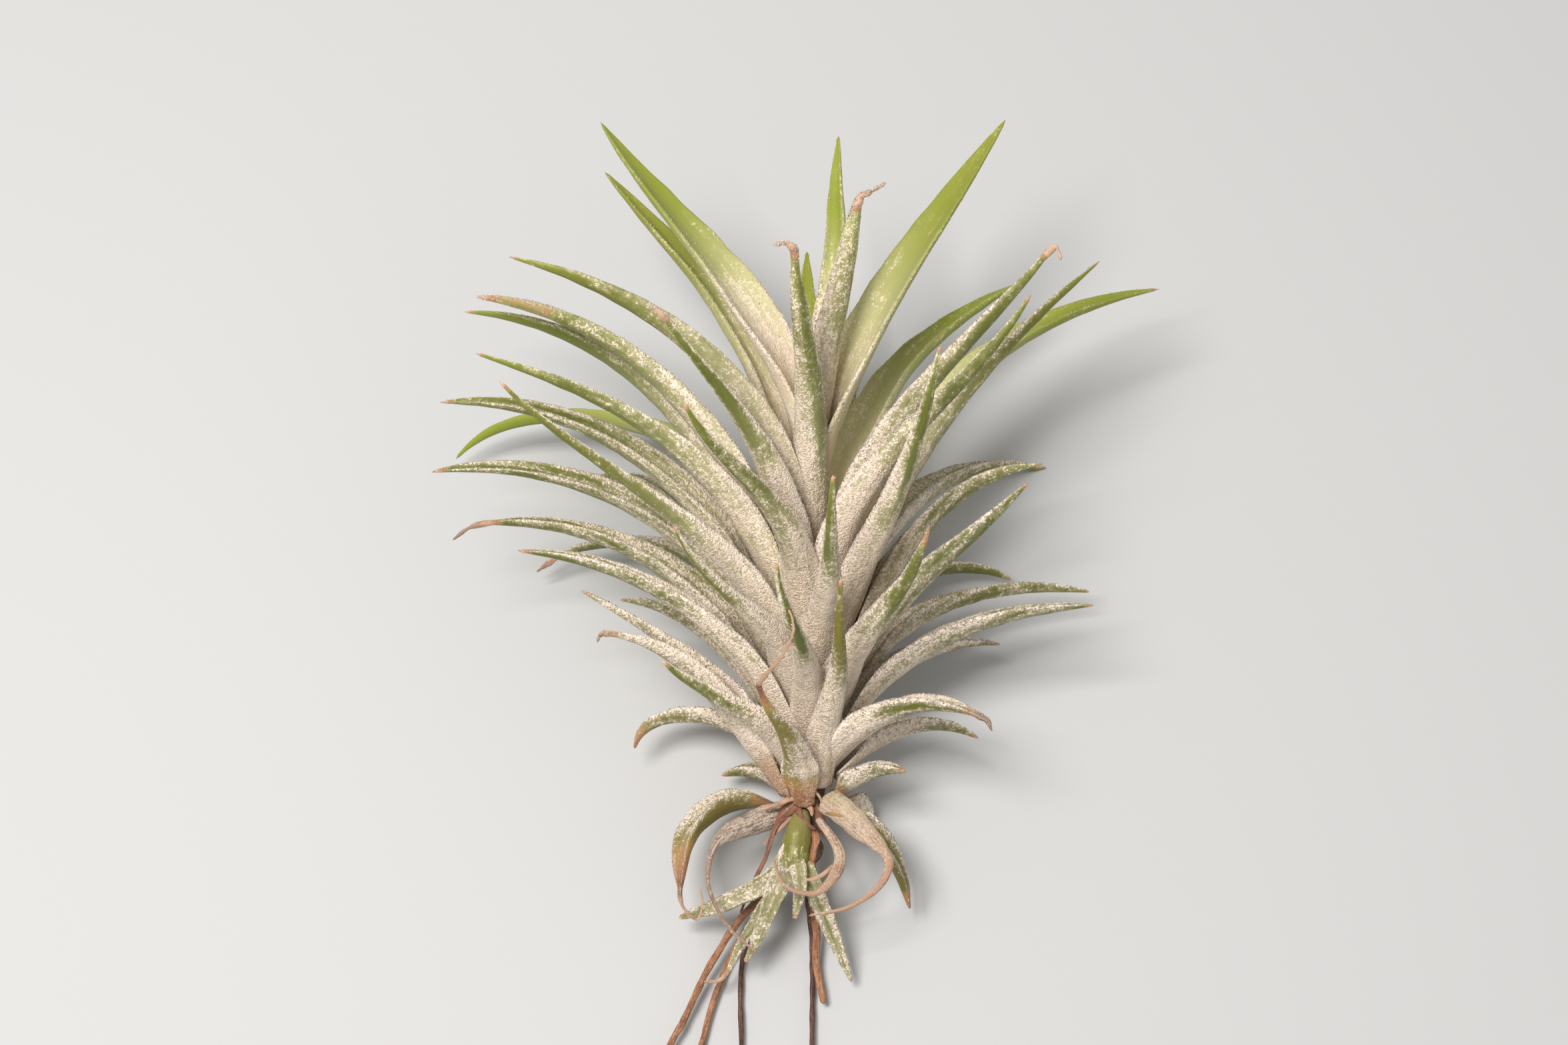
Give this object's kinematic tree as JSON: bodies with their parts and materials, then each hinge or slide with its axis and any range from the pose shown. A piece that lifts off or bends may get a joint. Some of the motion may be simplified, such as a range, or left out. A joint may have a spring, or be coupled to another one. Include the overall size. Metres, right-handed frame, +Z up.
{
  "type": "sky plant",
  "caption": "Stemmed silver air plant lying on its back: a spiral rosette of channelled, scale-covered leaves, with dried tips, a small offset and wiry roots.",
  "frame": {"origin": "on the surface that the plant lies on, under the middle of its bounding box", "axes": "+Z up, +Y from the roots towards the crown along the surface, +X to the right of the side that faces up"},
  "size_m": [0.1008, 0.1338, 0.0581],
  "materials": {
    "leaf": "living leaf under a matt silver coat of scales",
    "dry_leaf": "dry, matt, brown",
    "stem": "rough brown bark",
    "root": "wiry, matt, tan to dark brown"
  },
  "bodies": {
    "root": {"stem": "stem", "heart_leaves": "leaf", "leaf_09": "leaf", "leaf_10": "leaf", "leaf_11": "leaf", "leaf_12": "leaf", "leaf_13": "leaf", "leaf_14": "leaf", "leaf_15": "leaf", "leaf_16": "leaf", "leaf_17": "leaf", "leaf_18": "leaf", "leaf_19": "leaf", "leaf_20": "leaf", "leaf_21": "leaf", "leaf_22": "leaf", "leaf_23": "leaf", "leaf_24": "leaf", "leaf_25": "leaf", "leaf_26": "leaf", "leaf_27": "leaf", "leaf_28": "leaf", "leaf_29": "leaf", "leaf_30": "leaf", "leaf_31": "leaf", "leaf_32": "leaf", "leaf_33": "leaf", "leaf_34": "leaf", "leaf_35": "leaf", "leaf_36": "leaf", "leaf_37": "leaf", "leaf_38": "leaf", "leaf_39": "leaf", "leaf_40": "leaf", "leaf_41": "leaf", "leaf_42": "leaf", "leaf_43": "leaf", "leaf_44": "leaf", "leaf_45": "leaf", "leaf_46": "leaf", "leaf_47": "leaf", "leaf_48": "leaf", "leaf_49": "leaf", "leaf_50": "leaf", "leaf_51": "leaf", "leaf_52": "leaf", "leaf_53": "leaf", "leaf_54": "leaf", "leaf_55": "leaf", "leaf_56": "leaf", "leaf_57": "leaf", "leaf_58": "leaf", "pup": "leaf", "dry_leaf_left": "dry_leaf", "dry_leaf_right": "dry_leaf", "dry_loop": "dry_leaf", "roots": "root"}
  },
  "joints": []
}
